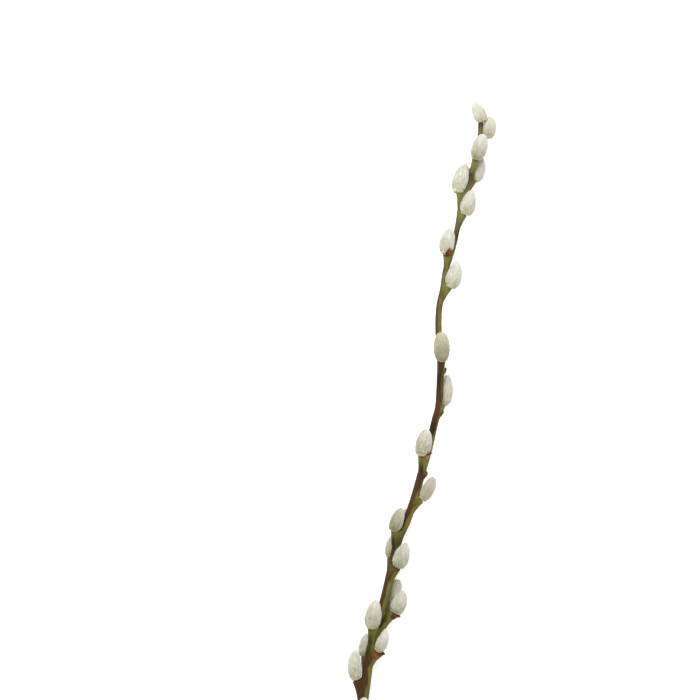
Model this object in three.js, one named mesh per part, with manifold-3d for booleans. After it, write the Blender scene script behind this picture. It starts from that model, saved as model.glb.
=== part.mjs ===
import * as THREE from 'three';
import { mergeVertices } from 'three/addons/utils/BufferGeometryUtils.js';
import Module from 'manifold-3d';

const wasm = await Module();
wasm.setup();

// A cut shoot of pussy willow lying flat, in millimetres, its tip towards +Y and +Z up from the surface

// Centre-line of the shoot seen from above, from the cut end to the tip, with its small bends at the buds
const LINE = [
  [-69.6, -146.9], [-55.9, -91.0], [-42.3, -27.3], [-36.4, 0.0], [-32.8, 26.0], [-28.6, 44.2],
  [-23.0, 63.7], [-19.2, 79.6], [-15.4, 97.0], [-13.2, 106.0], [-8.8, 115.0], [-3.4, 130.3],
  [1.9, 149.1], [6.5, 165.1], [10.0, 180.8], [12.4, 189.8], [13.4, 204.0], [13.8, 218.4],
  [12.4, 243.0], [13.0, 256.0], [15.6, 268.0], [17.0, 278.5], [21.6, 293.2], [25.0, 308.0],
  [27.2, 322.0], [33.0, 336.7], [35.7, 350.4], [38.9, 363.0], [40.0, 375.7],
];
// Height of the centre-line at the tip, how much it climbs in each millimetre towards the cut as the shoot
// thickens, and its height at the cut, where the bare end sinks to the surface
const LIFT = 10.38;
const LIFT_GAIN = 0.0021;
const END_LIFT = 4.12;
// Half thickness at the tip, how much it gains in each millimetre towards the cut, how much it widens
// under the last catkin, and the slant of the cut
const TIP_RADIUS = 1.65;
const RADIUS_GAIN = 0.0048;
const TIP_FLARE = 0.25;
const CUT_SLANT = 0.75;
const STEM_SIDES = 9;
const STEM_STEP = 5;

// Catkins, roughly from the tip down: place of the foot along Y, side in degrees round the shoot, length,
// extra stand-off of the spur and, for some, how much lower than usual the spur starts.
// Sides: 0 right, 90 up, 180 left, 270 under
const CATKINS = [
  [366.4, 340, 14.6, 0.4],
  [351.7, 81, 17.1, 0],
  [338.7, 304, 16.0, 0],
  [328.3, 178, 19.4, 0.2],
  [316.2, 38, 16.5, 0],
  [354.4, 278, 11.4, 0],
  [289.3, 142, 17.0, 0],
  [269.0, 28, 17.9, 0],
  [222.0, 284, 14.0, 0],
  [220.4, 83, 19.2, 0],
  [191.9, 295, 20.6, 0],
  [158.0, 230, 13.0, 0],
  [158.2, 127, 18.0, -0.2],
  [131.6, 6, 17.0, -0.6],
  [111.0, 248, 13.6, 0],
  [108.4, 149, 15.6, 0],
  [91.7, 251, 15.5, 0],
  [87.2, 53, 17.6, -0.2],
  [62.0, 305, 18.4, 0],
  [59.0, 20, 16.2, 3.0, 7],
  [46.2, 122, 19.6, 0],
  [32.4, 40, 16.8, 0.2],
  [27.0, 242, 15.5, 0],
  [12.4, 168, 20.2, 0.8, 4],
  [-14.0, 90, 18.0, 0],
  [-30.0, 18, 17.2, 0.4],
  [-44.0, 230, 17.0, 0],
  [-60.0, 112, 16.6, 0],
  [-76.0, 322, 16.0, 0],
];
// The one that ends the shoot: length and lean to the left, in degrees, at its foot and at its tip
const END_CATKIN = 14.4;
const END_LEAN = [8, 46];
// Half width of a catkin, fixed part and share of its length, how much fuller some are, by number, and how
// sharply a catkin rounds off at its foot and at its tip, with the ones of another tip
const GIRTH = 2.6;
const GIRTH_SHARE = 0.145;
const FULLNESS = { 3: 1.05, 14: 1.04, 15: 0.84, 17: 0.95, 20: 0.95, 23: 0.72, 25: 0.83 };
const FOOT_ROUNDING = 0.34;
const TIP_ROUNDING = 0.62;
const TIP_ROUNDINGS = { 2: 0.54, 3: 0.56, 11: 0.46, 14: 0.54, 15: 0.54, 20: 0.5 };
const BEND_STEPS = 60;
// Lean away from the shoot at the foot and at the tip, in degrees, and how much a single one strays
const LEAN = [29, -12];
const LEAN_STRAY = 5;
// Silky tufts: rows and places round, and how far a tuft stands out, as a share of the half width
const TUFT_ROWS = 9;
const TUFTS_ROUND = 10;
const TUFT_RISE = 0.045;

// Short spur that carries a catkin: its start below the foot, stand-off of its top, half thickness at its
// root as a share of the shoot's, and at its top a fixed part and a share of the shoot's, and the share of
// its reach over which it bends up
const SPUR_DROP = 11.5;
const SPUR_OUT = 1.6;
const SPUR_ROOT = 0.8;
const SPUR_TOP = 1.15;
const SPUR_TOP_SHARE = 0.66;
const SPUR_BEND = 0.45;
const SPUR_SIDES = 8;
const SPUR_STEPS = 3;

// Sleeping buds on the bark: place along Y and side; their length, half thickness, share of that at which
// the point stands off the bark, and bluntness of the point
const SLEEPING = [[342, 184], [212, 2], [185, 6], [145, 24], [-92, 182], [-112, 48]];
const BUD_LENGTH = 5.0;
const BUD_RADIUS = 1.5;
const BUD_STAND = 0.8;
const BUD_POINT = 0.03;
const BUD_SIDES = 6;

// Bud scales that still hold the foot of a catkin, by the catkin's number: half width round the foot and
// turn from its outer side in degrees, height of the rim above the foot at the sides and at the middle, and
// hang of the lower edge below it at the sides and at the middle
const SCALES = {
  8: [36, 72, 0.6, 6.0, 0.8, 1.8],
  14: [50, 104, 1.0, 3.2, 0.7, 2.2],
  19: [64, -58, 0.5, 1.2, 0.6, 1.7],
  21: [112, 40, 0.8, 1.5, 2.0, 6.2],
  23: [104, 20, 0.7, 2.9, 1.0, 4.8],
  27: [84, 40, 0.6, 1.8, 0.8, 3.6],
};
// Their thickness, how much they narrow downwards, how far the middle of the rim stands off, clearance
const SCALE_THICK = 0.65;
const SCALE_TAPER = 0.22;
const SCALE_FLARE = 1.0;
const SCALE_GAP = 0.39;
const SCALE_COLUMNS = 10;
const SCALE_ROWS = 4;

// Clearance between neighbouring pieces
const GAP = 0.3;
const SEED = 41;
// Block of the surface under the shoot
const SLAB = [800, 1200, 40];

const BARK = { color: 0x6f6a31, roughness: 0.6 };
const SILK = { color: 0xd9d5c4, roughness: 0.9 };
const HUSK = { color: 0x9a5530, roughness: 0.5 };

const { degToRad, lerp } = THREE.MathUtils;
const UP = new THREE.Vector3(0, 0, 1);

let state = SEED;

// Seeded draw between -1 and 1
function draw() {
  state = (state * 1664525 + 1013904223) % 4294967296;
  return (2 * state) / 4294967296 - 1;
}

// Height of the centre-line, almost level over the catkins and sinking to the surface at the cut end
function lift(y) {
  const level = LIFT + LIFT_GAIN * (LINE.at(-1)[1] - y);
  const low = Math.max(0, y / LINE[0][1]);
  return lerp(level, END_LIFT, low * low);
}

const line = new THREE.CatmullRomCurve3(
  LINE.map(([x, y]) => new THREE.Vector3(x, y, lift(y))),
  false,
  'centripetal',
);
line.arcLengthDivisions = 2000;
const lineLength = line.getLength();

// Place on the centre-line at a given Y, as a share of its length
function shareAt(y) {
  let low = 0;
  let high = 1;
  while (high - low > 1e-6) {
    const mid = (low + high) / 2;
    if (line.getPointAt(mid).y < y) {
      low = mid;
    } else {
      high = mid;
    }
  }
  return low;
}

function radiusAt(share) {
  return TIP_RADIUS + RADIUS_GAIN * (1 - share) * lineLength;
}

// Point on the shoot with its direction to the tip, and the direction out of it on a given side
function station(y, side) {
  const share = shareAt(y);
  const point = line.getPointAt(share);
  const along = line.getTangentAt(share);
  const up = UP.clone().addScaledVector(along, -UP.dot(along)).normalize();
  const right = new THREE.Vector3().crossVectors(along, up);
  const out = right.multiplyScalar(Math.cos(degToRad(side))).addScaledVector(up, Math.sin(degToRad(side)));
  return { point, along, out, radius: radiusAt(share) };
}

// Closed skin over a row of rings with the same number of points, closed by a fan at either end
function skin(rings, first, last) {
  const round = rings[0].length;
  const points = [first, ...rings.flat(), last];
  const faces = [];
  const at = (ring, k) => 1 + ring * round + (k % round);
  for (let k = 0; k < round; k += 1) {
    faces.push(0, at(0, k + 1), at(0, k));
    for (let ring = 0; ring + 1 < rings.length; ring += 1) {
      faces.push(at(ring, k), at(ring, k + 1), at(ring + 1, k + 1));
      faces.push(at(ring, k), at(ring + 1, k + 1), at(ring + 1, k));
    }
    faces.push(points.length - 1, at(rings.length - 1, k), at(rings.length - 1, k + 1));
  }
  return solid(points, faces);
}

function solid(points, faces) {
  const shape = new THREE.BufferGeometry().setFromPoints(points);
  shape.setIndex(faces);
  return bodyOf(shape);
}

function bodyOf(shape) {
  const mesh = new wasm.Mesh({
    numProp: 3,
    vertProperties: Float32Array.from(shape.getAttribute('position').array),
    triVerts: Uint32Array.from(shape.getIndex().array),
  });
  return new wasm.Manifold(mesh);
}

// Ring of points round a centre in the plane of two directions
function ring(centre, across, over, radii) {
  return radii.map((radius, k) => {
    const angle = (2 * Math.PI * k) / radii.length;
    return centre
      .clone()
      .addScaledVector(across, radius * Math.cos(angle))
      .addScaledVector(over, radius * Math.sin(angle));
  });
}

// Round rod along a curve, its half thickness given by the share of the way
function rod(curve, thickness, sides, steps, slant) {
  const rings = [];
  for (let step = 0; step <= steps; step += 1) {
    const along = curve.getTangentAt(step / steps);
    const centre = curve.getPointAt(step / steps);
    const over = UP.clone().addScaledVector(along, -UP.dot(along)).normalize();
    const across = new THREE.Vector3().crossVectors(over, along);
    rings.push(ring(centre, across, over, Array(sides).fill(thickness(step / steps))));
  }
  const start = curve.getPointAt(0);
  const heading = curve.getTangentAt(0);
  for (const point of rings[0]) {
    point.addScaledVector(heading, slant * (point.z - start.z));
  }
  return skin(rings, start, curve.getPointAt(1));
}

// Foot of a catkin: where the spur ends, the directions along and out of the shoot, and the spur's half
// thickness there
function footOf(y, side, standOff) {
  const { point, along, out, radius } = station(y, side);
  const foot = point.clone().addScaledVector(out, radius + SPUR_OUT + standOff);
  return { foot, along, out, top: SPUR_TOP + SPUR_TOP_SHARE * radius };
}

function leaning(along, out, degrees) {
  return along
    .clone()
    .multiplyScalar(Math.cos(degToRad(degrees)))
    .addScaledVector(out, Math.sin(degToRad(degrees)));
}

// Spur from the middle of the shoot to a foot, widening upwards, thicker all round by a margin
function spur(y, side, standOff, lower, margin) {
  const { foot, along, out, top } = footOf(y, side, standOff);
  const root = station(y - SPUR_DROP - standOff - lower, side);
  const heading = leaning(along, out, LEAN[0]);
  const reach = foot.distanceTo(root.point);
  const curve = new THREE.QuadraticBezierCurve3(
    root.point,
    foot.clone().addScaledVector(heading, -SPUR_BEND * reach),
    foot.clone().addScaledVector(heading, margin),
  );
  const thickness = (share) => lerp(SPUR_ROOT * root.radius, top, share) + margin;
  return rod(curve, thickness, SPUR_SIDES, SPUR_STEPS, 0);
}

// Small pointed bud pressed to the bark
function sleepingBud(y, side, margin) {
  const root = station(y, side);
  const top = station(y + BUD_LENGTH, side);
  const shoulder = root.point.clone().addScaledVector(root.out, root.radius + BUD_RADIUS);
  const end = top.point.clone().addScaledVector(top.out, top.radius + BUD_STAND * BUD_RADIUS);
  end.addScaledVector(end.clone().sub(shoulder).normalize(), margin);
  const curve = new THREE.QuadraticBezierCurve3(root.point, shoulder, end);
  const thickness = (share) => BUD_RADIUS * Math.sqrt(1 + BUD_POINT - share) + margin;
  return rod(curve, thickness, BUD_SIDES, SPUR_STEPS, 0);
}

// The whole woody body: shoot, spurs and sleeping buds
function wood(margin) {
  const steps = Math.round(lineLength / STEM_STEP);
  const flare = (share) => Math.max(0, 1 - (1 - share) * lineLength / STEM_STEP);
  const thickness = (share) => radiusAt(share) + TIP_FLARE * flare(share) + margin;
  let body = rod(line, thickness, STEM_SIDES, steps, CUT_SLANT);
  for (const [y, side, , standOff, lower = 0] of CATKINS) {
    body = body.add(spur(y, side, standOff, lower, margin));
  }
  for (const [y, side] of SLEEPING) {
    body = body.add(sleepingBud(y, side, margin));
  }
  return body;
}

// Largest half width of the catkin with a number and how sharply its tip rounds off
function buildOf(number, length) {
  const half = (FULLNESS[number] ?? 1) * (GIRTH + GIRTH_SHARE * length);
  return { half, sharp: TIP_ROUNDINGS[number] ?? TIP_ROUNDING };
}

// Half width of a catkin at a share of its length: broad above the foot, drawn to a blunt point
function girthAt({ half, sharp }, share) {
  const swell = (at) => at ** FOOT_ROUNDING * (1 - at) ** sharp;
  return (half * swell(share)) / swell(FOOT_ROUNDING / (FOOT_ROUNDING + sharp));
}

// Catkin that bends from one lean to another, its surface raised into rows of staggered tufts
function catkin({ foot, along, out }, build, length, leanFoot, leanTip) {
  const side = new THREE.Vector3().crossVectors(along, out);
  const places = [foot.clone().addScaledVector(leaning(along, out, leanFoot), GAP)];
  for (let k = 0; k < BEND_STEPS; k += 1) {
    const heading = leaning(along, out, lerp(leanFoot, leanTip, k / BEND_STEPS));
    places.push(places[k].clone().addScaledVector(heading, length / BEND_STEPS));
  }
  const rings = [];
  for (let row = 1; row <= TUFT_ROWS; row += 1) {
    const share = (1 - Math.cos((Math.PI * row) / (TUFT_ROWS + 1))) / 2;
    const across = leaning(along, out, lerp(leanFoot, leanTip, share) + 90);
    const radii = [];
    for (let k = 0; k < TUFTS_ROUND; k += 1) {
      const rise = (row + k) % 2 ? TUFT_RISE : -TUFT_RISE;
      radii.push(girthAt(build, share) * (1 + rise));
    }
    rings.push(ring(places[Math.round(share * BEND_STEPS)], across, side, radii));
  }
  return skin(rings, places[0], places[BEND_STEPS]);
}

// Hollow scale that holds one side of a foot, its rim and its lower edge both drawn out at the middle
function budScale({ foot, along, out, top }, build, length, scale) {
  const [half, turned, rimSide, rimMiddle, hangSide, hangMiddle] = scale;
  const heading = leaning(along, out, LEAN[0]);
  const outward = leaning(along, out, LEAN[0] + 90);
  const side = new THREE.Vector3().crossVectors(heading, outward);
  const layers = [0, SCALE_THICK].map((depth) => {
    const points = [];
    for (let column = 0; column <= SCALE_COLUMNS; column += 1) {
      const turn = (2 * column) / SCALE_COLUMNS - 1;
      const angle = degToRad(turned + turn * half);
      const middle = 1 - Math.abs(turn);
      const low = -lerp(hangSide, hangMiddle, middle);
      const high = lerp(rimSide, rimMiddle, middle);
      for (let row = 0; row <= SCALE_ROWS; row += 1) {
        const rise = lerp(low, high, row / SCALE_ROWS);
        const fur = girthAt(build, Math.max(0, rise / length)) * (1 + TUFT_RISE);
        const bark = top + SCALE_TAPER * Math.min(0, rise);
        const stand = SCALE_FLARE * (middle * Math.max(0, rise / high)) ** 2;
        const reach = Math.max(fur, bark) + SCALE_GAP + stand + depth;
        points.push(
          foot
            .clone()
            .addScaledVector(heading, rise)
            .addScaledVector(outward, reach * Math.cos(angle))
            .addScaledVector(side, reach * Math.sin(angle)),
        );
      }
    }
    return points;
  });
  const tall = SCALE_ROWS + 1;
  const count = layers[0].length;
  const faces = [];
  const quad = (a, b, c, d) => faces.push(a, b, c, a, c, d);
  for (let column = 0; column < SCALE_COLUMNS; column += 1) {
    const here = column * tall;
    const next = here + tall;
    for (let row = 0; row < SCALE_ROWS; row += 1) {
      quad(here + row, here + row + 1, next + row + 1, next + row);
      quad(count + here + row, count + next + row, count + next + row + 1, count + here + row + 1);
    }
    quad(here, next, count + next, count + here);
    quad(here + SCALE_ROWS, count + here + SCALE_ROWS, count + next + SCALE_ROWS, next + SCALE_ROWS);
  }
  const edge = SCALE_COLUMNS * tall;
  for (let row = 0; row < SCALE_ROWS; row += 1) {
    quad(row, count + row, count + row + 1, row + 1);
    quad(edge + row, edge + row + 1, count + edge + row + 1, count + edge + row);
  }
  return solid(layers.flat(), faces);
}

function geometryOf(body) {
  const mesh = body.getMesh();
  const flat = new THREE.BufferGeometry();
  flat.setAttribute('position', new THREE.BufferAttribute(Float32Array.from(mesh.vertProperties), 3));
  flat.setIndex(new THREE.BufferAttribute(Uint32Array.from(mesh.triVerts), 1));
  flat.computeVertexNormals();
  return flat;
}

// Largest of the bodies left by a cut
function main(body) {
  const bodies = body.decompose();
  return bodies.reduce((best, next) => (next.volume() > best.volume() ? next : best));
}

const branch = new THREE.Group();

function addPiece(name, body, look) {
  const mesh = new THREE.Mesh(geometryOf(body), new THREE.MeshStandardMaterial(look));
  mesh.name = name;
  branch.add(mesh);
}

// The surface it lies on, which flattens whatever reaches it
const slab = new THREE.BoxGeometry(SLAB[0], SLAB[1], SLAB[2]).translate(0, 0, -SLAB[2] / 2);
slab.deleteAttribute('normal');
slab.deleteAttribute('uv');
const surface = bodyOf(mergeVertices(slab));

const clear = wood(GAP);
addPiece('stem', main(wood(0).subtract(surface)), BARK);

const { point, along, out } = station(LINE.at(-1)[1], 180);
const endBuild = buildOf(1, END_CATKIN);
const ended = catkin({ foot: point, along, out }, endBuild, END_CATKIN, END_LEAN[0], END_LEAN[1]);
addPiece('catkin_01', ended, SILK);

CATKINS.forEach(([y, side, length, standOff], k) => {
  const place = footOf(y, side, standOff);
  const leanTip = LEAN[1] + LEAN_STRAY * draw();
  const number = k + 2;
  const label = String(number).padStart(2, '0');
  const build = buildOf(number, length);
  const body = catkin(place, build, length, LEAN[0], leanTip);
  addPiece(`catkin_${label}`, main(body.subtract(clear).subtract(surface)), SILK);
  if (SCALES[number]) {
    const scale = budScale(place, build, length, SCALES[number]);
    addPiece(`bud_scale_${label}`, main(scale.subtract(clear).subtract(surface)), HUSK);
  }
});

const extent = new THREE.Box3().setFromObject(branch);
const middle = extent.getCenter(new THREE.Vector3());
branch.position.set(-middle.x, -middle.y, -extent.min.z);

export default branch;
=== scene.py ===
import math

import bpy
import numpy as np
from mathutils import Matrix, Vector, noise
from mathutils.bvhtree import BVHTree
from mathutils.kdtree import KDTree


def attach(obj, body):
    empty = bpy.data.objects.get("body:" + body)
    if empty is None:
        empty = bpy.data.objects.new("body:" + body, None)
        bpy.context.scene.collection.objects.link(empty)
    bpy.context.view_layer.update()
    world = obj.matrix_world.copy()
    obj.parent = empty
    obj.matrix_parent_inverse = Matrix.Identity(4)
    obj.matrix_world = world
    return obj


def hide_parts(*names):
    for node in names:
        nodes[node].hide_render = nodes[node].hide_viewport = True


# A cut shoot of pussy willow lying on a pale surface, seen from straight above; metres

MM = 0.001
SEED = 17
# Distance below which points of a CAD node count as one
WELD = 0.002 * MM

# Catkins: how round foot and tip are, and the shares of the half width and of the length that the body
# under the fur has
FOOT_ROUNDING = 0.34
TIP_ROUNDING = 0.6
CORE_SHARE = 0.87
CORE_TIP = 0.985
# Fit of a catkin to its CAD node: places along it, rounds, trial step, distance beyond which a point counts
# little, damping
FIT_PLACES = 61
FIT_ROUNDS = 14
FIT_STEP = 0.01 * MM
FIT_SPREAD = 0.35 * MM
FIT_DAMPING = 2.0
# Hairs of a catkin: their number, their width and how that varies, the tufts in which they grow, how far a
# tuft spreads along, as a share of the length, and across, and how far back of it its hairs root; the half
# width below which tufts spread no further round, and the first and last place of a root
STRANDS = 2450
STRAND_WIDTH = 0.125 * MM
WIDTH_SPREAD = (0.75, 1.3)
TUFTS = 96
GOLDEN_ANGLE = math.pi * (3 - math.sqrt(5))
TUFT_LENGTH = 0.05
TUFT_WIDTH = 1.05 * MM
TUFT_BACK = 0.06
NARROWEST = 0.9 * MM
ROOTS = (0.004, 0.93)
# How far hairs run, as a share of the length, how they close up towards their ends, and how much they waver
# out, turn aside and rise in locks
RUN = (0.16, 0.27)
GATHER = 0.72
WAVER = 0.022
SWIRL = 0.05
LOCKS = 0.045
# Strays: how many, how far out they stand and how fine they are
STRAYS = 0.13
STRAY_OUT = (0.03, 0.12)
STRAY_WIDTH = 0.65
# Short hairs round the foot: where they root and how much shorter they are
FOOT_ROOTS = (0.008, 0.03)
FOOT_RUN = 0.35
# Shares of the half width at which hairs root, pass their middle and end; the share of the length at which
# they leave the skin, and the share at which the last ones end and how that varies
ROOT_SHARE = CORE_SHARE - 0.05
FOOT_ROOT_SHARE = 0.9
MIDDLE_SHARE = 0.965
END_SHARE = 1.01
END_LAST = 0.992
LAST_ENDS = 0.99
LAST_SPREAD = 0.02
# Corners of a hair at its root, middle and end, its half width at the first two as a share of its width,
# how far each counts as up from the body, and the tone of the body
HAIR_CORNERS = (3, 3, 1)
HAIR_POINTS = sum(HAIR_CORNERS)
ROOT_WIDTH = 0.5
MIDDLE_WIDTH = 0.44
HAIR_LIFTS = (0.15, 0.6, 1.0)
CORE_TONE = 0.3
# How far off wood is looked for, how deep a point counts as inside it, and the gaps kept to the wood by the
# body, by the middles and by the ends of hairs, and to the surface
WOOD_SEARCH = 2.5 * MM
WOOD_TOUCH = 0.001 * MM
CORE_GAP = 0.02 * MM
MIDDLE_GAP = 0.1 * MM
END_GAP = 0.12 * MM
SURFACE_GAP = 0.06 * MM
HAIR_SURFACE_GAP = 0.03 * MM
# Hairs this near to a bud scale lie under it, drawn in by a share of the way to the centre-line
UNDER_SCALE = 0.45 * MM
UNDER_SHARE = 0.14
# How loosely the hairs of some catkins stand, by number
LOOSE = {4: 0.8, 9: 0.9, 12: 1.3, 19: 1.4, 20: 1.2, 23: 2.4, 26: 1.3}
# How much olive shows between the hairs, with painted shade that darkens some catkins and lightens
# others that lie in shadow; how far painted shade darkens the foot and lightens the tip, and how rosy the
# hairs are, usual value and by number
OLIVE_AND_SHADE = 0.5
OLIVES_AND_SHADES = {
    1: 0.05,
    2: 0.15,
    3: 0.3,
    4: -0.4,
    5: -0.1,
    6: 0.1,
    7: -0.2,
    8: 0,
    9: 0.1,
    11: 1.2,
    12: 0.3,
    15: 0.9,
    17: 1.2,
    20: 0.65,
    22: 0.4,
    23: 0.15,
    25: 0.35,
}
FOOT_SHADE_FALL = 0.35
FOOT_SHADE_FALLS = {3: 1.1}
ROSY = 0.05
ROSIES = {1: 0.3, 3: 0.2, 4: 0, 12: 0.4, 14: 0.3, 15: 0.8, 19: 0.2}
# Size of the patches in which olive with painted shade, and rosy, gather, and how strongly
PATCH = 2.4 * MM
PATCH_SHARE = 0.5

# Stem: grid and rounds of its rounding, step, band and window with which its middle is found, half width at
# the tip and what that gains for each metre down, and how far below the foot of a catkin its leaf scar lies
BARK_VOXEL = 0.5 * MM
BARK_ROUNDS = 8
LINE_STEP = 3 * MM
LINE_BAND = 7 * MM
LINE_WINDOW = 3
TIP_RADIUS = 1.65 * MM
RADIUS_GAIN = 0.0048
SCAR_DROP = 9.775 * MM
# How far the marks of the bark reach: green of the spurs, dark rings at the feet (brown with painted
# contact shadow), leaf scars, middles and points of sleeping buds, brown of the brown spurs; raised pores
SPUR_REACH = 4.4 * MM
RING_REACH = 1.7 * MM
SCAR_REACH = 1.0 * MM
BUD_REACH = 2.4 * MM
POINT_REACH = 1.1 * MM
BROWN_REACH = 6 * MM
PORES = 460
PORE_REACH = 0.3 * MM
PORE_STRETCH = (1, 0.55, 1)
# How far ridges, pores and rings stand out and scars lie in
RIDGE_RISE = 0.06 * MM
PORE_RISE = 0.09 * MM
RING_RISE = 0.12 * MM
SCAR_DEPTH = 0.12 * MM
# Waves of the edge of the red-brown side and of the ridges: height, and number to the metre on each axis
EDGE_WAVES = [(0.45, (8, 22, 8)), (0.25, (420, 60, 420))]
RIDGE_WAVES = [(1.0, (700, 45, 700)), (0.6, (260, 90, 260))]
# Places along Y from where to where the bark turns young and old
YOUNG = (60 * MM, 220 * MM)
OLD = (30 * MM, -30 * MM)
# How far red-brown reaches round the shoot: anywhere, more at brown spurs, less where young and where old,
# and half the width of its edge, all as parts of a normal
RED = 0.04
RED_AT_SPURS = 0.7
RED_LOST_YOUNG = 0.7
RED_LOST_OLD = 0.12
RED_EDGE = 0.11
# How much less dark a dark place is on a spur
SPUR_LIGHT = 0.6
# The cut end: how far up it reaches, and the normal along Y below which a point is on it
CUT_REACH = 6 * MM
CUT_NORMAL = -0.45
# Catkins whose spur is as brown as the bark beside it, by number
BROWN_SPURS = (1, 11, 25)
# Sleeping buds: place along Y and side in degrees, 0 right and 90 up; how far their middle and point stand
# from the root and out from the bark; the places of the brown ones
SLEEPING = [(222.3, 184), (92.3, 2), (65.3, 6), (25.3, 24), (-211.7, 182), (-231.7, 48)]
BROWN_BUDS = (25.3, -211.7, -231.7)
BUD_MIDDLE = (2.6 * MM, 0.7 * MM)
BUD_POINT = (4.7 * MM, 1.2 * MM)
# Places along Y where red-brown spreads round the shoot, how far that reaches and how much it adds; the
# place where the bark is brightest and those where it is darkest, and how far they reach; in mm
FLUSHED = [(84, 20, 0.4), (22, 11, 0.35), (-40, 9, 0.2)]
BRIGHTEST = (229, 4.5)
DARKEST = [(255.4, 3), (219, 5), (181, 7), (88, 9), (57, 5), (-18, 8), (-88, 4), (-150, 9)]

# Bud scales: grid and rounds of their rounding, waves to the metre of their colours, where rim and corner
# begin and are full, as shares of height and width; how red, how dark, how tan at the rim and how black at
# the corner each one is, by the number of its catkin
HUSK_VOXEL = 0.22 * MM
HUSK_ROUNDS = 4
HUSK_WAVES = 900
HUSK_RIM = (0.72, 0.92)
HUSK_CORNER = (0.76, 0.88)
HUSK_TONES = {
    8: (0.6, 0.7, 0.6, 0.0),
    14: (0.0, 0.1, 0.7, 0.4),
    19: (0.0, 0.65, 0.1, 0.9),
    21: (0.4, 0.95, 0.0, 0.4),
    23: (0.9, 0.1, 0.0, 1.0),
    27: (0.4, 0.5, 0.6, 0.3),
}

# Picture: its middle in the row frame, its width and the height at which that is measured, and the lens
VIEW_CENTRE = (-33.39 * MM, 107.76 * MM)
VIEW_WIDTH = 455 * MM
VIEW_LEVEL = 12 * MM
LENS = 135
SENSOR = 36

# Light: the even light all round, and place, size and power of two soft boxes; half the width of the floor
# and how far it lies below the branch
SKY = 0.68
KEY = ((-0.6, 1.25, 1.7), 1.8, 43)
FILL = ((1.5, -0.2, 0.8), 1.2, 3.5)
WHITE = (1.0, 1.0, 1.0, 1.0)
FLOOR_HALF = 3
FLOOR_DROP = 0.02 * MM


def node_mesh(node):
    """Vertices of a CAD node in the row frame and its triangles."""
    place = node.matrix_world
    points = np.array([place @ v.co for v in node.data.vertices])
    node.data.calc_loop_triangles()
    faces = np.array([t.vertices[:] for t in node.data.loop_triangles])
    return points, faces


def node_tree(node):
    """Search tree of the skin of a CAD node."""
    points, faces = node_mesh(node)
    return BVHTree.FromPolygons(points.tolist(), faces.tolist())


def ramp(value, start, full):
    """0 up to a start, 1 from a full value on."""
    return np.clip((value - start) / (full - start), 0, 1)


def waves(points, scale):
    """Smooth random value at each point, between -1 and 1, for a scale on each axis."""
    return np.array([noise.noise(Vector(p)) for p in points * scale])


def new_piece(name, points, faces, values, material):
    """Smooth mesh from arrays, with named values at its points."""
    mesh = bpy.data.meshes.new(name)
    mesh.vertices.add(len(points))
    mesh.vertices.foreach_set("co", points.astype(np.float32).ravel())
    sides = faces.shape[1]
    mesh.loops.add(faces.size)
    mesh.loops.foreach_set("vertex_index", faces.astype(np.int32).ravel())
    mesh.polygons.add(len(faces))
    mesh.polygons.foreach_set("loop_start", np.arange(0, faces.size, sides, dtype=np.int32))
    mesh.polygons.foreach_set("use_smooth", np.ones(len(faces), dtype=bool))
    for key, value in values.items():
        layer = mesh.attributes.new(key, "FLOAT", "POINT")
        layer.data.foreach_set("value", value.astype(np.float32))
    mesh.update(calc_edges=True)
    mesh.validate()
    mesh.materials.append(material)
    piece = bpy.data.objects.new(name, mesh)
    bpy.context.scene.collection.objects.link(piece)
    return piece


def refined(node, voxel, rounds):
    """Fine rounded copy of a CAD node: points, normals and faces of four corners."""
    points, faces = node_mesh(node)
    mesh = bpy.data.meshes.new("coarse")
    mesh.from_pydata(points.tolist(), [], faces.tolist())
    coarse = bpy.data.objects.new("coarse", mesh)
    bpy.context.scene.collection.objects.link(coarse)
    weld = coarse.modifiers.new("weld", "WELD")
    weld.merge_threshold = WELD
    grid = coarse.modifiers.new("grid", "REMESH")
    grid.mode = "VOXEL"
    grid.voxel_size = voxel
    soft = coarse.modifiers.new("soft", "SMOOTH")
    soft.factor = 0.5
    soft.iterations = rounds
    graph = bpy.context.evaluated_depsgraph_get()
    fine = bpy.data.meshes.new_from_object(coarse.evaluated_get(graph))
    count = len(fine.vertices)
    co = np.empty(3 * count)
    fine.vertices.foreach_get("co", co)
    normals = np.empty(3 * count)
    fine.vertex_normals.foreach_get("vector", normals)
    quads = np.array([p.vertices[:] for p in fine.polygons])
    bpy.data.objects.remove(coarse)
    bpy.data.meshes.remove(mesh)
    bpy.data.meshes.remove(fine)
    return co.reshape(-1, 3), normals.reshape(-1, 3), quads


def declare(piece, node):
    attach(piece, "root")
    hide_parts(node)


# Materials

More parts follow.
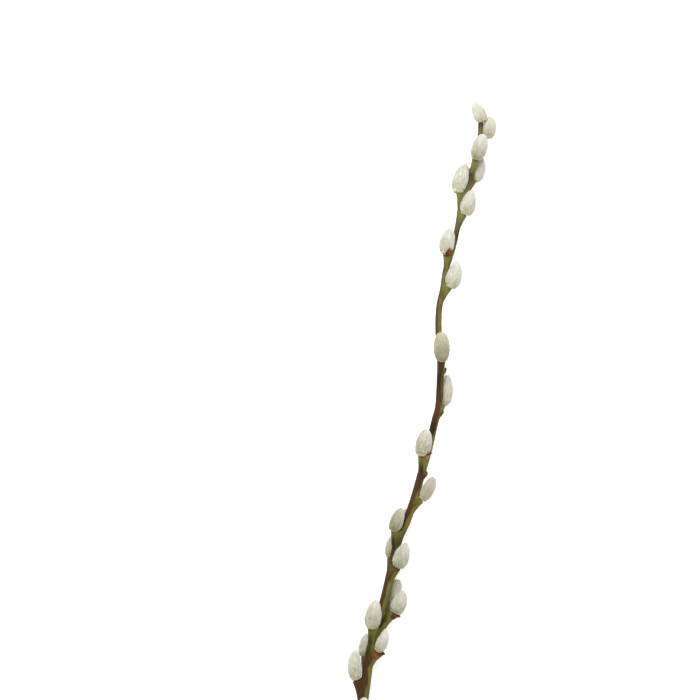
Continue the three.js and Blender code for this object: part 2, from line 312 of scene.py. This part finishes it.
class Look:
    """A principled material and short calls for its nodes."""

    def __init__(self, name, roughness):
        self.material = bpy.data.materials.new(name)
        self.material.use_nodes = True
        self.tree = self.material.node_tree
        self.shader = self.tree.nodes["Principled BSDF"]
        self.shader.inputs["Roughness"].default_value = roughness

    def node(self, kind, inputs=None, **settings):
        made = self.tree.nodes.new(kind)
        for key, value in settings.items():
            setattr(made, key, value)
        for key, value in (inputs or {}).items():
            self.put(made.inputs[key], value)
        return made

    def put(self, socket, value):
        if isinstance(value, bpy.types.NodeSocket):
            self.tree.links.new(value, socket)
        else:
            socket.default_value = value

    def value(self, name):
        return self.node("ShaderNodeAttribute", attribute_name=name).outputs["Fac"]

    def place(self, scale):
        """Row-frame place stretched by a factor on each axis."""
        where = self.node("ShaderNodeTexCoord").outputs["Object"]
        return self.node("ShaderNodeMapping", {"Vector": where, "Scale": scale}).outputs["Vector"]

    def cloud(self, scale, detail=3.0):
        inputs = {"Vector": self.place(scale), "Scale": 1.0, "Detail": detail}
        return self.node("ShaderNodeTexNoise", inputs).outputs["Fac"]

    def between(self, value, low, high):
        made = self.node(
            "ShaderNodeMapRange",
            {"Value": value, "From Min": low, "From Max": high},
            interpolation_type="SMOOTHSTEP",
        )
        return made.outputs["Result"]

    def spots(self, scale, size):
        """Small separate spots, as wide as a share of their spacing."""
        made = self.node("ShaderNodeTexVoronoi", {"Vector": self.place(scale), "Scale": 1.0})
        return self.between(made.outputs["Distance"], size, 0.6 * size)

    def maths(self, operation, a, b):
        return self.node("ShaderNodeMath", {0: a, 1: b}, operation=operation).outputs[0]

    def mix(self, share, a, b, blend="MIX"):
        made = self.node("ShaderNodeMix", data_type="RGBA", blend_type=blend)
        self.put(made.inputs["Factor"], share)
        self.put(made.inputs[6], a)
        self.put(made.inputs[7], b)
        return made.outputs[2]

    def tint(self, base, share, amount, colour, blend="MIX"):
        """Base with a colour over it, by a share times an amount."""
        return self.mix(self.maths("MULTIPLY", share, amount), base, colour, blend)

    def uniform(self, numbers):
        """Shader values that are the same all over."""
        for key, number in numbers.items():
            self.shader.inputs[key].default_value = number

    def colour(self, value):
        self.put(self.shader.inputs["Base Color"], value)

    def bump(self, height, distance):
        made = self.node("ShaderNodeBump", {"Height": height, "Distance": distance, "Strength": 1.0})
        self.put(self.shader.inputs["Normal"], made.outputs["Normal"])


def srgb(red, green, blue):
    """Screen colour from 0 to 255 as the linear colour of a material."""
    parts = [c / 255 for c in (red, green, blue)]
    return (*(p / 12.92 if p <= 0.04045 else ((p + 0.055) / 1.055) ** 2.4 for p in parts), 1.0)


def silk_look():
    look = Look("silk", 0.5)
    along, lift, olive_and_shade = look.value("along"), look.value("lift"), look.value("olive_and_shade")
    deep = look.mix(look.between(along, 0.05, 0.8), srgb(212, 209, 168), srgb(241, 239, 224))
    dull = look.mix(look.between(along, 0.05, 0.9), srgb(126, 123, 74), srgb(184, 182, 142))
    # Olive between the hairs, with painted shade, darkens the body and the hair roots
    deep = look.mix(olive_and_shade, deep, dull)
    deep = look.mix(look.between(along, 0.07, 0.0), deep, srgb(186, 154, 108))
    pale = look.mix(look.between(along, 0.0, 0.55), srgb(242, 241, 219), srgb(251, 250, 241))
    pale_olive_and_shade = look.mix(look.between(along, 0.0, 0.8), srgb(188, 186, 140), srgb(222, 221, 194))
    # Olive between the hairs, with painted shade, dims the hair ends
    pale = look.tint(pale, olive_and_shade, 0.75, pale_olive_and_shade)
    pale = look.tint(pale, look.between(along, 0.15, 0.0), 0.3, srgb(226, 202, 168))
    # Body and hair roots darker than the hair ends: the olive bracts showing through, and painted shade
    # deep in the fur
    fur = look.mix(look.between(lift, 0.0, 0.8), deep, pale)
    fur = look.tint(fur, look.between(lift, 0.7, 1.0), 0.35, srgb(246, 246, 246))
    fur = look.tint(fur, look.value("rosy"), 0.5, srgb(242, 226, 214))
    fur = look.tint(fur, look.value("tone"), 0.16, srgb(214, 211, 190))
    look.colour(fur)
    look.uniform({"Sheen Weight": 0.25, "Sheen Roughness": 0.4, "Specular IOR Level": 0.3})
    return look.material


def bark_look():
    look = Look("bark", 0.5)
    streak = look.cloud((1100, 60, 1100), 4.0)
    blotch = look.cloud((260, 70, 260), 3.0)
    speck = look.between(look.cloud((2600, 1500, 2600), 1.0), 0.66, 0.74)
    green = look.mix(streak, srgb(82, 77, 24), srgb(128, 122, 54))
    green = look.mix(look.between(blotch, 0.48, 0.7), green, srgb(76, 66, 26))
    red = look.mix(streak, srgb(48, 25, 12), srgb(88, 49, 27))
    red = look.mix(look.between(blotch, 0.5, 0.72), red, srgb(54, 42, 18))
    old = look.value("old")
    green = look.tint(green, old, 0.6, look.mix(streak, srgb(74, 70, 28), srgb(126, 121, 64)))
    red = look.tint(red, old, 0.7, look.mix(streak, srgb(42, 29, 10), srgb(80, 57, 24)))
    bark = look.mix(look.value("sun"), green, red)
    dull = look.mix(streak, srgb(78, 72, 42), srgb(124, 119, 82))
    bark = look.tint(bark, look.value("young"), 0.7, dull)
    fresh = look.mix(streak, srgb(108, 110, 34), srgb(150, 150, 70))
    fresh = look.mix(old, fresh, look.mix(streak, srgb(88, 100, 24), srgb(130, 142, 54)))
    bark = look.tint(bark, look.value("spur"), 0.75, fresh)
    bark = look.tint(bark, look.value("shade"), 0.9, srgb(172, 156, 150), "MULTIPLY")
    bark = look.tint(bark, speck, 0.5, srgb(52, 38, 24))
    lenticel = look.spots((520, 330, 520), 0.13)
    bark = look.tint(bark, lenticel, 0.36, srgb(140, 122, 84))
    bark = look.tint(bark, look.value("scar"), 0.85, srgb(48, 34, 22))
    # Dark ring at each catkin's foot: brown bud base with painted contact shadow
    bark = look.tint(bark, look.value("ring"), 0.6, srgb(66, 44, 28))
    bark = look.tint(bark, look.value("bud"), 0.8, srgb(104, 70, 26))
    bark = look.mix(look.value("point"), bark, srgb(62, 34, 22))
    across = look.value("across")
    grain = look.mix(look.cloud((1500, 1500, 1500), 2.0), srgb(205, 190, 142), srgb(224, 212, 168))
    cut = look.mix(look.between(across, 0.72, 0.86), grain, srgb(132, 138, 66))
    cut = look.mix(look.between(across, 0.2, 0.13), cut, srgb(150, 118, 78))
    bark = look.mix(look.value("cut"), bark, cut)
    look.colour(bark)
    rough = look.maths("ADD", streak, look.maths("MULTIPLY", speck, 0.5))
    look.bump(look.maths("ADD", rough, look.maths("MULTIPLY", lenticel, 0.8)), 0.12 * MM)
    look.put(look.shader.inputs["Roughness"], look.between(streak, -0.7, 1.3))
    look.uniform({"Specular IOR Level": 0.16})
    return look.material


def husk_look():
    look = Look("husk", 0.45)
    streak = look.cloud((700, 160, 700), 4.0)
    tan = look.mix(streak, srgb(128, 84, 52), srgb(176, 126, 86))
    red = look.mix(streak, srgb(112, 50, 24), srgb(168, 86, 46))
    dark = look.mix(streak, srgb(50, 26, 16), srgb(82, 46, 28))
    husk = look.mix(look.value("red"), tan, red)
    husk = look.mix(look.value("dark"), husk, dark)
    husk = look.mix(look.value("rim"), husk, srgb(176, 130, 88))
    husk = look.mix(look.value("black"), husk, srgb(46, 30, 22))
    look.colour(husk)
    look.bump(streak, 0.08 * MM)
    look.uniform({"Specular IOR Level": 0.12})
    return look.material


def floor_look():
    look = Look("floor", 0.9)
    grain = look.cloud((160, 160, 160), 2.0)
    look.colour(look.mix(grain, srgb(243, 243, 242), srgb(247, 247, 246)))
    look.uniform({"Specular IOR Level": 0.1, "Emission Color": WHITE, "Emission Strength": 0.46})
    return look.material


# Catkins

class Catkin:
    """Centre-line, half width and cross directions of a catkin, read from its CAD node."""

    def __init__(self, points, wood):
        middle = points.mean(axis=0)
        spread = np.linalg.svd(points - middle)[2][0]
        reach = (points - middle) @ spread
        ends = points[reach.argmax()], points[reach.argmin()]
        gaps = [wood.find_nearest(Vector(e))[3] for e in ends]
        self.foot, self.tip = ends if gaps[0] < gaps[1] else ends[::-1]
        self.turn = (self.foot + self.tip) / 2
        self.half = np.linalg.norm(self.tip - self.foot) / 3
        self.sharp = TIP_ROUNDING
        self.fit(points)
        chord = self.tip - self.foot
        self.length = np.linalg.norm(chord)
        self.heading = (self.turn - self.foot) / np.linalg.norm(self.turn - self.foot)
        self.side = np.cross(chord, self.turn - (self.foot + self.tip) / 2)
        self.side /= np.linalg.norm(self.side)

    def fit(self, points):
        """Set foot, bend, half width and tip so that most points lie on the skin, those of cuts apart."""
        steps = np.linspace(0.0, 1.0, FIT_PLACES)

        def off_skin(state):
            self.foot, self.turn, self.half, self.sharp = state[:3], state[3:6], state[6], state[7] / MM
            line = self.line(steps)
            away = np.linalg.norm(points[:, None] - line[None], axis=2)
            best = away.argmin(axis=1)
            return away[np.arange(len(points)), best] - self.girth(steps[best])

        state = np.concatenate([self.foot, self.turn, [self.half, self.sharp * MM]])
        for _ in range(FIT_ROUNDS):
            rest = off_skin(state)
            trials = [off_skin(state + change) for change in FIT_STEP * np.eye(8)]
            slope = np.stack([(trial - rest) / FIT_STEP for trial in trials], axis=1)
            weight = 1 / (1 + (rest / FIT_SPREAD) ** 2)
            square = slope.T @ (slope * weight[:, None]) + FIT_DAMPING * np.eye(8)
            state = state - np.linalg.solve(square, slope.T @ (weight * rest))
        off_skin(state)

    def line(self, t):
        s = np.asarray(t)[:, None]
        return (1 - s) ** 2 * self.foot + 2 * s * (1 - s) * self.turn + s**2 * self.tip

    def girth(self, t):
        """Half width at a share of the length: broad above the foot, drawn to a blunt point."""
        widest = FOOT_ROUNDING / (FOOT_ROUNDING + self.sharp)
        inside = np.clip(t, 0.0, 1.0)
        swell = inside**FOOT_ROUNDING * (1 - inside) ** self.sharp
        return self.half * swell / (widest**FOOT_ROUNDING * (1 - widest) ** self.sharp)

    def frame(self, t):
        """Points of the centre-line and directions across it."""
        s = np.asarray(t)[:, None]
        heading = 2 * (1 - s) * (self.turn - self.foot) + 2 * s * (self.tip - self.turn)
        heading /= np.linalg.norm(heading, axis=1)[:, None]
        return self.line(t), np.cross(self.side, heading)

    def at(self, t, angle, share):
        """Points at shares of the length and of the half width, at angles round the centre-line."""
        centre, across = self.frame(t)
        reach = (self.girth(t) * share)[:, None]
        return centre + reach * (np.cos(angle)[:, None] * across + np.sin(angle)[:, None] * self.side)


def core(catkin, rows=24, around=28):
    """Closed body under the fur: points, triangles and the share of the length at each point."""
    t = (1 - np.cos(np.pi * np.arange(1, rows + 1) / (rows + 1))) / 2 * CORE_TIP
    angle = 2 * np.pi * np.arange(around) / around
    grid_t, grid_a = np.repeat(t, around), np.tile(angle, rows)
    ends = catkin.frame(np.array([0.0, CORE_TIP]))[0]
    points = np.vstack([catkin.at(grid_t, grid_a, np.full(len(grid_t), CORE_SHARE)), ends])
    k = np.arange(around)
    step = (k + 1) % around
    faces = []
    for row in range(rows - 1):
        a, b = row * around + k, row * around + step
        faces += [np.stack([a, b, b + around], 1), np.stack([a, b + around, a + around], 1)]
    low, high, last = rows * around, rows * around + 1, (rows - 1) * around
    faces.append(np.stack([np.full(around, low), step, k], 1))
    faces.append(np.stack([np.full(around, high), last + k, last + step], 1))
    along = np.concatenate([grid_t, [0.0, 1.0]])
    return points, np.vstack(faces), along


def strand_paths(catkin, loose, draw):
    """Root, middle and end of each hair, their shares of the length and the hair widths: silk that lies
    along the catkin, with finer strays."""
    tuft_t = (np.arange(TUFTS) + 0.5) / TUFTS
    tuft_a = np.arange(TUFTS) * GOLDEN_ANGLE
    weight = catkin.girth(np.clip(tuft_t, 0.05, 0.95)) + 0.12 * catkin.half
    pick = draw.choice(TUFTS, STRANDS, p=weight / weight.sum())
    root_t = np.clip(tuft_t[pick] + draw.normal(0, TUFT_LENGTH, STRANDS) - TUFT_BACK, *ROOTS)
    low = root_t < FOOT_ROOTS[1]
    root_t = np.where(low, draw.uniform(*FOOT_ROOTS, STRANDS), root_t)
    off = draw.normal(0, TUFT_WIDTH, STRANDS) / np.maximum(catkin.girth(root_t), NARROWEST)
    run = draw.uniform(*RUN, STRANDS) * np.where(low, FOOT_RUN, 1.0)
    stray = draw.random(STRANDS) < STRAYS * loose
    out = draw.normal(0.0, WAVER * loose, STRANDS) + stray * draw.uniform(*STRAY_OUT, STRANDS)
    gather = np.where(stray, 1.0, GATHER)
    swirl = draw.normal(0, SWIRL * loose, STRANDS)
    end_t = np.minimum(root_t + run, LAST_ENDS + LAST_SPREAD * draw.random(STRANDS))
    mid_t = (root_t + end_t) / 2
    a = tuft_a[pick]
    out += LOCKS * loose * np.sin(2 * a + 9 * mid_t + draw.uniform(0, 6)) * np.sin(3 * a - 7 * mid_t)
    root = catkin.at(root_t, a + off, np.where(low, FOOT_ROOT_SHARE, ROOT_SHARE))
    mid = catkin.at(mid_t, a + off * (1 + gather) / 2 + swirl / 2, MIDDLE_SHARE + 0.5 * out)
    end = catkin.at(np.minimum(end_t, END_LAST), a + off * gather + swirl, END_SHARE + out)
    past = np.maximum(end_t - END_LAST, 0.0)[:, None]
    end += past * (catkin.tip - catkin.turn)
    widths = STRAND_WIDTH * draw.uniform(*WIDTH_SPREAD, STRANDS) * np.where(stray, STRAY_WIDTH, 1.0)
    return (root, mid, end), (root_t, mid_t, end_t), widths


def wood_at(point, wood, gap):
    """Nearest spot of the wood and its normal, where a point is inside it or nearer than a gap."""
    spot, normal, _, far = wood.find_nearest(Vector(point), WOOD_SEARCH)
    if spot is None:
        return None
    inside = (Vector(point) - spot).dot(normal) < -WOOD_TOUCH
    return (spot, normal) if inside or far < gap else None


def clear_of(points, wood, gap):
    """Points moved out of the wood and up from the surface."""
    for k, p in enumerate(points):
        hit = wood_at(p, wood, gap)
        if hit:
            points[k] = hit[0] + hit[1] * gap
    points[:, 2] = np.maximum(points[:, 2], SURFACE_GAP)
    return points


def drawn_in(points, centre, wood, gap):
    """Points drawn towards the centre-line until they are out of the wood, and up from the surface."""
    for k, p in enumerate(points):
        for share in np.linspace(1.0, 0.1, 10):
            points[k] = centre[k] + share * (p - centre[k])
            if not wood_at(points[k], wood, gap):
                break
    points[:, 2] = np.maximum(points[:, 2], SURFACE_GAP)
    return points


def under(points, scale, catkin, t):
    """Points drawn in towards the centre-line where a bud scale lies over them."""
    centre = catkin.frame(t)[0]
    for k, p in enumerate(points):
        if scale.find_nearest(Vector(p), UNDER_SCALE)[0] is not None:
            points[k] += UNDER_SHARE * (centre[k] - p)
    return points


def strand_mesh(root, mid, end, widths):
    """A thin closed three-sided spike for each hair."""
    heading = end - root
    heading /= np.linalg.norm(heading, axis=1)[:, None]
    other = np.where(np.abs(heading[:, 2:]) < 0.8, [[0.0, 0.0, 1.0]], [[1.0, 0.0, 0.0]])
    across = np.cross(heading, other)
    across /= np.linalg.norm(across, axis=1)[:, None]
    over = np.cross(heading, across)
    rings = []
    for centre, share in ((root, ROOT_WIDTH), (mid, MIDDLE_WIDTH)):
        for corner in range(3):
            angle = 2 * np.pi * corner / 3
            spoke = math.cos(angle) * across + math.sin(angle) * over
            rings.append(centre + (widths * share)[:, None] * spoke)
    points = np.stack([*rings, end], axis=1)
    shape = []
    for k in range(3):
        n = (k + 1) % 3
        shape += [(k, n, 3 + n), (k, 3 + n, 3 + k), (3 + k, 3 + n, 6)]
    shape.append((0, 2, 1))
    faces = np.array(shape)[None] + HAIR_POINTS * np.arange(len(root))[:, None, None]
    return points.reshape(-1, 3), faces.reshape(-1, 3)


def fur(name, catkin, scale, number, wood, draw, material):
    loose = LOOSE.get(number, 1.0)
    points, faces, along = core(catkin)
    points = drawn_in(points, catkin.frame(along)[0], wood, CORE_GAP)
    (root, mid, end), shares, widths = strand_paths(catkin, loose, draw)
    if scale:
        mid, end = under(mid, scale, catkin, shares[1]), under(end, scale, catkin, shares[2])
    root = clear_of(root, wood, 0.0)
    mid = clear_of(mid, wood, MIDDLE_GAP)
    end = clear_of(end, wood, END_GAP)
    hair, spikes = strand_mesh(root, mid, end, widths)
    hair[:, 2] = np.maximum(hair[:, 2], HAIR_SURFACE_GAP)
    along = np.concatenate([along, np.repeat(np.stack(shares, axis=1), HAIR_CORNERS, axis=1).ravel()])
    lift = np.tile(np.repeat(HAIR_LIFTS, HAIR_CORNERS), STRANDS)

    def over_all(body, hairs):
        return np.concatenate([body, np.repeat(hairs, HAIR_POINTS)])

    patch = over_all(waves(points, 1 / PATCH), waves(mid, 1 / PATCH))
    blush = over_all(waves(points + 1, 0.6 / PATCH), waves(mid + 1, 0.6 / PATCH))
    # Painted shade along each catkin: darker below the middle, lighter above it
    foot_shade_fall = FOOT_SHADE_FALLS.get(number, FOOT_SHADE_FALL) * (0.5 - along)
    values = {
        "along": along,
        "lift": np.concatenate([np.zeros(len(points)), lift]),
        "tone": over_all(np.full(len(points), CORE_TONE), draw.random(STRANDS)),
        "olive_and_shade": np.clip(OLIVES_AND_SHADES.get(number, OLIVE_AND_SHADE) + foot_shade_fall + PATCH_SHARE * patch, 0, 1.2),
        "rosy": np.clip(ROSIES.get(number, ROSY) + PATCH_SHARE * blush, 0, 1),
    }
    faces = np.vstack([faces, spikes + len(points)])
    return new_piece(name, np.vstack([points, hair]), faces, values, material)


# Bud scales

def husk_piece(name, node, catkin, tones, material):
    points, _, faces = refined(node, HUSK_VOXEL, HUSK_ROUNDS)
    rise = (points - catkin.foot) @ catkin.heading
    level = (rise - rise.min()) / np.ptp(rise)
    ripple = waves(points, HUSK_WAVES)
    red, dark, rim, black = tones
    away = np.linalg.norm(points - catkin.foot - rise[:, None] * catkin.heading, axis=1)
    values = {
        "red": np.clip(red + 0.5 * ripple, 0, 1),
        "dark": np.clip(dark * (1.15 - 0.5 * level) + 0.4 * ripple, 0, 1),
        "rim": rim * ramp(level + 0.15 * ripple, *HUSK_RIM),
        "black": black * ramp(away / away.max(), *HUSK_CORNER),
    }
    return new_piece(name, points, faces, values, material)


# Stem

def near(points, spots, size):
    """Closeness of each point to the nearest of some spots, 1 at it and fading over a size."""
    tree = KDTree(len(spots))
    for k, spot in enumerate(spots):
        tree.insert(spot, k)
    tree.balance()
    away = np.array([tree.find(p)[2] for p in points])
    return np.exp(-((away / size) ** 2))


def centre_line(points):
    """Middle of the shoot at any place along it, from the CAD stem."""
    y = np.arange(points[:, 1].min(), points[:, 1].max(), LINE_STEP)
    rows = []
    for level in y:
        band = points[np.abs(points[:, 1] - level) < LINE_BAND]
        rows.append(np.median(band[:, [0, 2]], axis=0))
    rows = np.array(rows)
    spans = [slice(max(0, k - LINE_WINDOW), k + LINE_WINDOW + 1) for k in range(len(rows))]
    smooth = np.array([rows[span].mean(axis=0) for span in spans])

    def middle(level):
        x, z = (np.interp(level, y, smooth[:, k]) for k in (0, 1))
        return np.stack([x, level, z], axis=-1)

    return middle


def mark(y, place, reach):
    """Closeness to a place along Y in mm, 1 at it and fading over a reach."""
    return np.exp(-(((y / MM - place) / reach) ** 2))


def stem(node, catkins, draw, material):
    middle = centre_line(node_mesh(node)[0])
    points, normals, faces = refined(node, BARK_VOXEL, BARK_ROUNDS)
    y = points[:, 1]
    top = y.max()

    def radius(level):
        return TIP_RADIUS + RADIUS_GAIN * (top - level)

    feet = [c.foot for c in catkins]
    green_feet = [foot for k, foot in enumerate(feet) if k + 1 not in BROWN_SPURS]
    spur = near(points, green_feet, SPUR_REACH)
    # Closeness to the feet: a raised ring, darkened brown with painted contact shadow
    ring = near(points, feet, RING_REACH)
    scars = []
    for c in catkins[1:]:
        level = c.foot[1] - SCAR_DROP
        away = c.foot - middle(c.foot[1])
        away /= np.linalg.norm(away)
        scars.append(middle(level) + radius(level) * away)
    scar = near(points, scars, SCAR_REACH)
    buds = {BUD_MIDDLE: [], BUD_POINT: []}
    for level, turned in SLEEPING:
        out = np.array([math.cos(math.radians(turned)), 0.0, math.sin(math.radians(turned))])
        for (up, stand), spots in buds.items():
            here = level * MM + up
            if stand == BUD_POINT[1] or level in BROWN_BUDS:
                spots.append(middle(here) + (radius(here) + stand) * out)
    bud = near(points, buds[BUD_MIDDLE], BUD_REACH)
    point = near(points, buds[BUD_POINT], POINT_REACH)
    pores = points[draw.choice(len(points), PORES, replace=False)]
    pore = near(points * PORE_STRETCH, pores * PORE_STRETCH, PORE_REACH)
    # Red-brown on the side that had the sun, with a wandering edge, and dull olive towards the tip
    edge = sum(height * waves(points, scale) for height, scale in EDGE_WAVES)
    young, old = ramp(y, *YOUNG), ramp(y, *OLD)
    flush = sum(add * mark(y, place, reach) for place, reach, add in FLUSHED)
    brown = near(points, [feet[k - 1] for k in BROWN_SPURS], BROWN_REACH)
    warm = edge + RED + flush + RED_AT_SPURS * brown - RED_LOST_YOUNG * young - RED_LOST_OLD * old
    spur = np.maximum(spur * (1 - flush), mark(y, *BRIGHTEST))
    shade = np.max([mark(y, *dark) for dark in DARKEST], axis=0)
    cut = ((normals[:, 1] < CUT_NORMAL) & (y < y.min() + CUT_REACH)).astype(float)
    ridge = sum(height * waves(points, scale) for height, scale in RIDGE_WAVES)
    rise = (RIDGE_RISE * ridge + PORE_RISE * pore + RING_RISE * ring) * (1 - cut) - SCAR_DEPTH * scar
    moved = points + normals * rise[:, None]
    moved[:, 2] = np.maximum(moved[:, 2], 0.0)
    values = {
        "sun": ramp(warm - normals[:, 0], -RED_EDGE, RED_EDGE),
        "young": young,
        "old": old,
        "shade": shade * (1 - SPUR_LIGHT * spur),
        "spur": spur,
        "ring": ring,
        "scar": scar,
        "bud": bud,
        "point": point,
        "cut": cut,
        "across": np.linalg.norm((points - middle(y))[:, [0, 2]], axis=1) / radius(y),
    }
    return new_piece("stem_bark", moved, faces, values, material)


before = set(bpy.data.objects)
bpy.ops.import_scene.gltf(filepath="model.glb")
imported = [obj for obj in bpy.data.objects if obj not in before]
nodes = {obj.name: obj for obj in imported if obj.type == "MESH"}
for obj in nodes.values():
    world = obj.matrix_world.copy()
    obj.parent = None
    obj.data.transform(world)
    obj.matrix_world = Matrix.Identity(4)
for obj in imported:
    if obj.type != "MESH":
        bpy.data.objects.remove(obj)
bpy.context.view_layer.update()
draw = np.random.default_rng(SEED)

wood = node_tree(nodes["stem"])
silk, husk = silk_look(), husk_look()
catkins = []
for number in range(1, 1 + sum(name.startswith("catkin") for name in nodes)):
    name, held = f"catkin_{number:02d}", f"bud_scale_{number:02d}"
    catkin = Catkin(node_mesh(nodes[name])[0], wood)
    catkins.append(catkin)
    scale = None
    if held in nodes:
        scale = node_tree(nodes[held])
        cup = husk_piece(f"{held}_husk", nodes[held], catkin, HUSK_TONES[number], husk)
        declare(cup, held)
    declare(fur(f"{name}_fur", catkin, scale, number, wood, draw, silk), name)
declare(stem(nodes["stem"], catkins, draw, bark_look()), "stem")

# Floor, light and camera

corners = FLOOR_HALF * np.array([[-1, -1, 0], [1, -1, 0], [1, 1, 0], [-1, 1, 0]], dtype=float)
floor = new_piece("floor", corners, np.array([[0, 1, 2, 3]]), {}, floor_look())
floor.location.z = -FLOOR_DROP

world = bpy.data.worlds.new("studio")
bpy.context.scene.world = world
world.use_nodes = True
sky = world.node_tree.nodes["Background"].inputs
sky["Color"].default_value = WHITE
sky["Strength"].default_value = SKY


def soft_box(name, place, size, power):
    lamp = bpy.data.lights.new(name, "AREA")
    lamp.size = size
    lamp.energy = power
    lit = bpy.data.objects.new(name, lamp)
    lit.location = place
    lit.rotation_euler = (-Vector(place)).to_track_quat("-Z", "Y").to_euler()
    bpy.context.scene.collection.objects.link(lit)


soft_box("key", *KEY)
soft_box("fill", *FILL)

camera = bpy.data.objects.new("camera", bpy.data.cameras.new("camera"))
camera.data.lens = LENS
camera.data.sensor_width = SENSOR
away = VIEW_WIDTH / 2 * LENS / (SENSOR / 2)
camera.location = (*VIEW_CENTRE, VIEW_LEVEL + away)
bpy.context.scene.collection.objects.link(camera)
bpy.context.scene.camera = camera
bpy.context.scene.view_settings.view_transform = "Standard"
